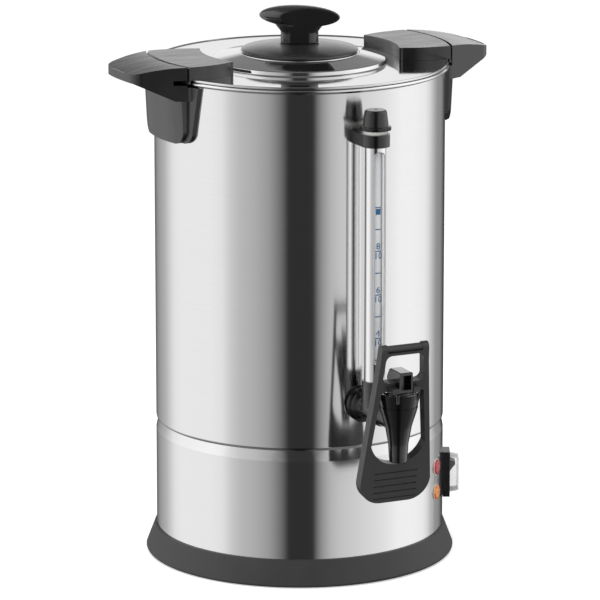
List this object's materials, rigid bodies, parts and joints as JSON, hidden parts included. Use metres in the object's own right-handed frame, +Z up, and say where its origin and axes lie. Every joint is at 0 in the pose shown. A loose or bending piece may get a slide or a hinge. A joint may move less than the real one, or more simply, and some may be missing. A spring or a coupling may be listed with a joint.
{
  "type": "coffee urn",
  "caption": "Upright steel coffee urn with a locking lid, side handles, a gauge glass, a lever tap, a rocker switch and a percolator inside.",
  "frame": {"origin": "centre of the foot ring's face, on the tank's axis at table level", "axes": "+Z up, the tap and gauge face -Y, the side handles point along +X and -X"},
  "size_m": [0.3262, 0.3339, 0.4606],
  "materials": {
    "tank_steel": "brushed upright, satin",
    "lid_steel": "polished",
    "plain_steel": "mill finish",
    "fastener_steel": "zinc plated",
    "shield_chrome": "mirror",
    "base_plastic": "fine grain",
    "foot_rubber": "matt",
    "handle_plastic": "fine grain, satin tops",
    "disc_plastic": "textured",
    "knob_plastic": "satin",
    "lever_plastic": "satin",
    "tap_plastic": "gloss",
    "cap_plastic": "satin",
    "switch_plastic": "matt",
    "rocker_plastic": "satin",
    "clear_cover": "clear",
    "gauge_glass": "clear",
    "white_silicone": "matt",
    "clear_silicone": "matt",
    "lamp_red": "clear tinted",
    "lamp_amber": "clear tinted",
    "lamp_white": "satin",
    "lamp_glass": "clear",
    "heater_aluminium": "cast",
    "element_steel": "oxidised",
    "ceramic_white": "moulded",
    "wire_sleeve": "glass fibre sleeve",
    "perc_aluminium": "satin"
  },
  "bodies": {
    "urn": {"tank_wall": "tank_steel", "tank_floor": "plain_steel", "skirt": "tank_steel", "base_ring": "base_plastic", "foot_ring": "foot_rubber", "base_plate": "plain_steel", "base_screws": "fastener_steel", "base_nuts": "fastener_steel", "centre_stud": "fastener_steel", "centre_nut": "fastener_steel", "brew_element": "heater_aluminium", "warm_element": "element_steel", "element_clamps": "plain_steel", "thermostat": "ceramic_white", "thermal_fuse": "ceramic_white", "terminal_block": "ceramic_white", "cord_gland": "switch_plastic", "wiring_harness": "wire_sleeve", "handle_right": "handle_plastic", "handle_left": "handle_plastic", "handle_washers": "fastener_steel", "handle_screws": "fastener_steel", "gauge_shield": "shield_chrome", "gauge_tube": "gauge_glass", "gauge_seal": "clear_silicone", "gauge_bracket": "cap_plastic", "bracket_screw": "fastener_steel", "tap_shank": "tap_plastic", "tap_outer_washer": "foot_rubber", "tap_inner_washer": "clear_silicone", "tap_nut": "plain_steel", "tap_body": "tap_plastic", "tap_bonnet": "tap_plastic", "tap_spring": "fastener_steel", "switch_housing": "switch_plastic", "switch_cover": "clear_cover", "lamp_amber": "lamp_amber", "lamp_red": "lamp_red", "lamp_bezels": "lamp_white", "lamp_bulbs": "lamp_glass"},
    "lid_core": {"knob_washer": "fastener_steel"},
    "lid": {"lid_shell": "lid_steel", "lid_disc": "disc_plastic", "lid_knob": "knob_plastic", "knob_screw": "fastener_steel", "lid_ear_right": "handle_plastic", "lid_ear_left": "handle_plastic", "ear_screws": "fastener_steel"},
    "stem": {"tap_stem": "tap_plastic", "tap_seat_cup": "clear_silicone"},
    "lever": {"tap_lever": "lever_plastic", "lever_pin": "fastener_steel"},
    "rocker": {"switch_rocker": "rocker_plastic"},
    "cap_ring": {"gauge_cap_seal": "white_silicone"},
    "cap": {"gauge_cap": "cap_plastic"},
    "percolator": {"percolator_foot": "perc_aluminium", "percolator_stem": "perc_aluminium"},
    "valve": {"pump_valve": "plain_steel"},
    "basket": {"coffee_basket": "perc_aluminium"},
    "basket_lid": {"basket_cover": "perc_aluminium"}
  },
  "joints": [
    {"name": "lid_lift", "type": "slide", "parent": "urn", "child": "lid_core", "axis": [0, 0, 1], "range_m": [0, 0.2]},
    {"name": "lid_turn", "type": "hinge", "parent": "lid_core", "child": "lid", "pos_m": [0, 0, 0.414], "axis": [0, 0, 1], "range_deg": [0, 30]},
    {"name": "tap_stem_lift", "type": "slide", "parent": "urn", "child": "stem", "axis": [0, 0, 1], "range_m": [0, 0.0033], "deforming": ["tap_spring"]},
    {"name": "tap_lever_tilt", "type": "hinge", "parent": "stem", "child": "lever", "pos_m": [0, -0.191, 0.184], "axis": [1, 0, 0], "range_deg": [0, 20], "stiffness_Nm_per_rad": 1, "springref_deg": -11.46},
    {"name": "switch_rock", "type": "hinge", "parent": "urn", "child": "rocker", "pos_m": [0.10694, -0.04987, 0.0637], "axis": [-0.4226, -0.9063, 0], "range_deg": [0, 16]},
    {"name": "gauge_cap_lift", "type": "slide", "parent": "urn", "child": "cap_ring", "axis": [0, 0, 1], "range_m": [0, 0.0046]},
    {"name": "gauge_cap_turn", "type": "hinge", "parent": "cap_ring", "child": "cap", "pos_m": [0, -0.1435, 0.379], "axis": [0, 0, 1], "range_deg": [0, 1080]},
    {"name": "percolator_lift", "type": "slide", "parent": "urn", "child": "percolator", "axis": [0, 0, 1], "range_m": [0, 0.012]},
    {"name": "pump_valve_lift", "type": "slide", "parent": "percolator", "child": "valve", "axis": [0, 0, 1], "range_m": [0, 0.002]},
    {"name": "basket_lift", "type": "slide", "parent": "percolator", "child": "basket", "axis": [0, 0, 1], "range_m": [0, 0.025]},
    {"name": "basket_cover_lift", "type": "slide", "parent": "basket", "child": "basket_lid", "axis": [0, 0, 1], "range_m": [0, 0.02]}
  ],
  "couplings": [
    {"joint": "tap_stem_lift", "follows": "tap_lever_tilt", "m_per_rad": 0.009167},
    {"joint": "gauge_cap_lift", "follows": "gauge_cap_turn", "m_per_rad": 0.00023873}
  ]
}
